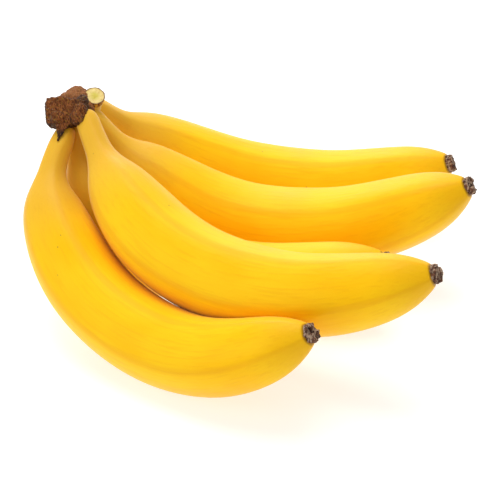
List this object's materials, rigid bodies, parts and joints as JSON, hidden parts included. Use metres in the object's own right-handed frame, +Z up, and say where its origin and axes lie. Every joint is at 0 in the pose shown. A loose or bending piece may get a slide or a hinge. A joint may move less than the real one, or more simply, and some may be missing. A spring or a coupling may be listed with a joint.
{
  "type": "bunch of bananas",
  "caption": "Bunch of ripe curved bananas joined at a dry woody crown, lying on its lower fingers with the tips curling up.",
  "frame": {"origin": "on the ground, under the middle of the bunch's box", "axes": "+X from the crown's side towards the tips, +Y from the front finger to the back finger, +Z up off the surface it lies on"},
  "size_m": [0.2078, 0.1968, 0.0912],
  "materials": {
    "ripe_peel": "smooth, waxy, half matte ripe yellow skin",
    "dry_crown": "dry, fibrous brown bark",
    "cut_stalk": "pale, fibrous cut face with a browned rim",
    "dried_flower": "ragged dark brown dried flower"
  },
  "bodies": {
    "root": {"crown": "dry_crown", "cut_stalk": "cut_stalk", "finger_front_left": "ripe_peel", "finger_front_left_blossom_end": "dried_flower", "finger_front": "ripe_peel", "finger_front_blossom_end": "dried_flower", "finger_middle": "ripe_peel", "finger_middle_blossom_end": "dried_flower", "finger_back": "ripe_peel", "finger_back_blossom_end": "dried_flower", "finger_hidden": "ripe_peel", "finger_hidden_blossom_end": "dried_flower"}
  },
  "joints": []
}
